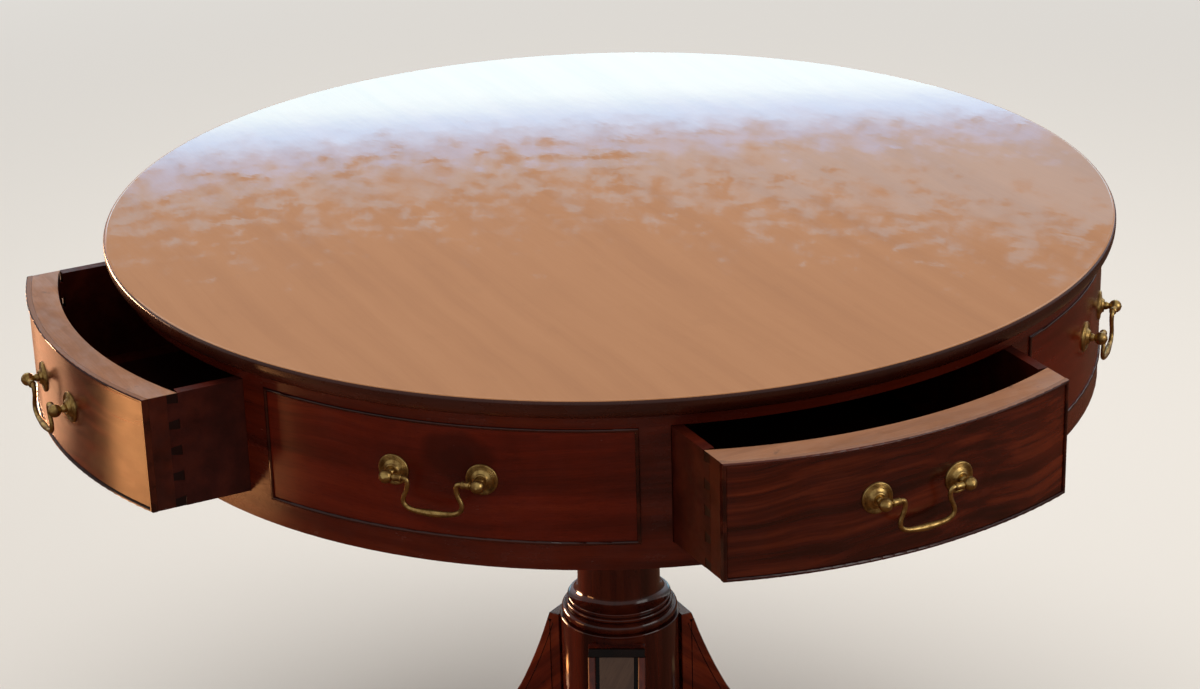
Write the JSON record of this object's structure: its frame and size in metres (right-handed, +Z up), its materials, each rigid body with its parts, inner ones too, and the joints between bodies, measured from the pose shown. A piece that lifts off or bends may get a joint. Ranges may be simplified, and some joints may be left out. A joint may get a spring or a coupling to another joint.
{
  "type": "drum table",
  "caption": "Round revolving drum table on a turned column with splayed sabre legs, bow-fronted drawers, dummy fronts and brass swan-neck bail handles.",
  "frame": {"origin": "on the column's axis at floor level", "axes": "+Z up; the drawers face -Y, +X, +Y and -X; one leg points along +X"},
  "size_m": [1.2188, 1.3098, 0.775],
  "materials": {
    "mahogany_top": "French polished",
    "mahogany_front": "French polished",
    "mahogany_dark": "French polished",
    "drawer_lining": "bare, aged",
    "carcase_wood": "bare, aged",
    "brass": "aged, lacquer worn",
    "iron": "dark, oiled"
  },
  "bodies": {
    "base": {"column": "mahogany_dark", "column_cap": "mahogany_dark", "leg_1": "mahogany_dark", "leg_2": "mahogany_dark", "leg_3": "mahogany_dark", "toe_caps": "brass", "leg_plate": "iron", "plate_screws": "iron", "pivot_spindle": "iron", "thrust_plate": "iron", "spindle_nut": "iron"},
    "drum": {"table_top": "mahogany_top", "top_rail": "mahogany_dark", "bottom_rail": "mahogany_dark", "bottom_board": "carcase_wood", "stiles": "mahogany_dark", "drawer_guides": "carcase_wood", "dummy_fronts": "mahogany_front", "dummy_beads": "mahogany_dark", "dummy_rosettes": "brass", "dummy_posts": "brass", "bearing_block": "carcase_wood", "pivot_bush": "brass"},
    "drawer_1": {"drawer_1_front": "mahogany_front", "drawer_1_sides": "drawer_lining", "drawer_1_back": "drawer_lining", "drawer_1_bottom": "drawer_lining", "drawer_1_bead": "mahogany_dark", "drawer_1_rosettes": "brass", "drawer_1_posts": "brass"},
    "drawer_1_bail": {"drawer_1_bail": "brass"},
    "drawer_2": {"drawer_2_front": "mahogany_front", "drawer_2_sides": "drawer_lining", "drawer_2_back": "drawer_lining", "drawer_2_bottom": "drawer_lining", "drawer_2_bead": "mahogany_dark", "drawer_2_rosettes": "brass", "drawer_2_posts": "brass"},
    "drawer_2_bail": {"drawer_2_bail": "brass"},
    "drawer_3": {"drawer_3_front": "mahogany_front", "drawer_3_sides": "drawer_lining", "drawer_3_back": "drawer_lining", "drawer_3_bottom": "drawer_lining", "drawer_3_bead": "mahogany_dark", "drawer_3_rosettes": "brass", "drawer_3_posts": "brass"},
    "drawer_3_bail": {"drawer_3_bail": "brass"},
    "drawer_4": {"drawer_4_front": "mahogany_front", "drawer_4_sides": "drawer_lining", "drawer_4_back": "drawer_lining", "drawer_4_bottom": "drawer_lining", "drawer_4_bead": "mahogany_dark", "drawer_4_rosettes": "brass", "drawer_4_posts": "brass"},
    "drawer_4_bail": {"drawer_4_bail": "brass"},
    "dummy_bail_1": {"dummy_bail_1": "brass"},
    "dummy_bail_2": {"dummy_bail_2": "brass"},
    "dummy_bail_3": {"dummy_bail_3": "brass"},
    "dummy_bail_4": {"dummy_bail_4": "brass"}
  },
  "joints": [
    {"name": "drum_turn", "type": "hinge", "parent": "base", "child": "drum", "pos_m": [0, 0, 0.6055], "axis": [0, 0, 1], "continuous": true},
    {"name": "drawer_1_slide", "type": "slide", "parent": "drum", "child": "drawer_1", "axis": [0, -1, 0], "range_m": [-0.096, 0.119]},
    {"name": "drawer_1_bail_swing", "type": "hinge", "parent": "drawer_1", "child": "drawer_1_bail", "pos_m": [0, -0.64855, 0.68525], "axis": [-1, 0, 0], "range_deg": [-18, 150]},
    {"name": "drawer_2_slide", "type": "slide", "parent": "drum", "child": "drawer_2", "axis": [1, 0, 0], "range_m": [0, 0.215]},
    {"name": "drawer_2_bail_swing", "type": "hinge", "parent": "drawer_2", "child": "drawer_2_bail", "pos_m": [0.55255, 0, 0.68525], "axis": [0, -1, 0], "range_deg": [-18, 150]},
    {"name": "drawer_3_slide", "type": "slide", "parent": "drum", "child": "drawer_3", "axis": [0, 1, 0], "range_m": [-0.096, 0.119]},
    {"name": "drawer_3_bail_swing", "type": "hinge", "parent": "drawer_3", "child": "drawer_3_bail", "pos_m": [0, 0.64855, 0.68525], "axis": [1, 0, 0], "range_deg": [-18, 150]},
    {"name": "drawer_4_slide", "type": "slide", "parent": "drum", "child": "drawer_4", "axis": [-1, 0, 0], "range_m": [-0.101, 0.114]},
    {"name": "drawer_4_bail_swing", "type": "hinge", "parent": "drawer_4", "child": "drawer_4_bail", "pos_m": [-0.65355, 0, 0.68525], "axis": [0, 1, 0], "range_deg": [-18, 150]},
    {"name": "dummy_bail_1_swing", "type": "hinge", "parent": "drum", "child": "dummy_bail_1", "pos_m": [0.39071, -0.39071, 0.68525], "axis": [-0.7071, -0.7071, 0], "range_deg": [-18, 150]},
    {"name": "dummy_bail_2_swing", "type": "hinge", "parent": "drum", "child": "dummy_bail_2", "pos_m": [0.39071, 0.39071, 0.68525], "axis": [0.7071, -0.7071, 0], "range_deg": [-18, 150]},
    {"name": "dummy_bail_3_swing", "type": "hinge", "parent": "drum", "child": "dummy_bail_3", "pos_m": [-0.39071, 0.39071, 0.68525], "axis": [0.7071, 0.7071, 0], "range_deg": [-18, 150]},
    {"name": "dummy_bail_4_swing", "type": "hinge", "parent": "drum", "child": "dummy_bail_4", "pos_m": [-0.39071, -0.39071, 0.68525], "axis": [-0.7071, 0.7071, 0], "range_deg": [-18, 150]}
  ]
}
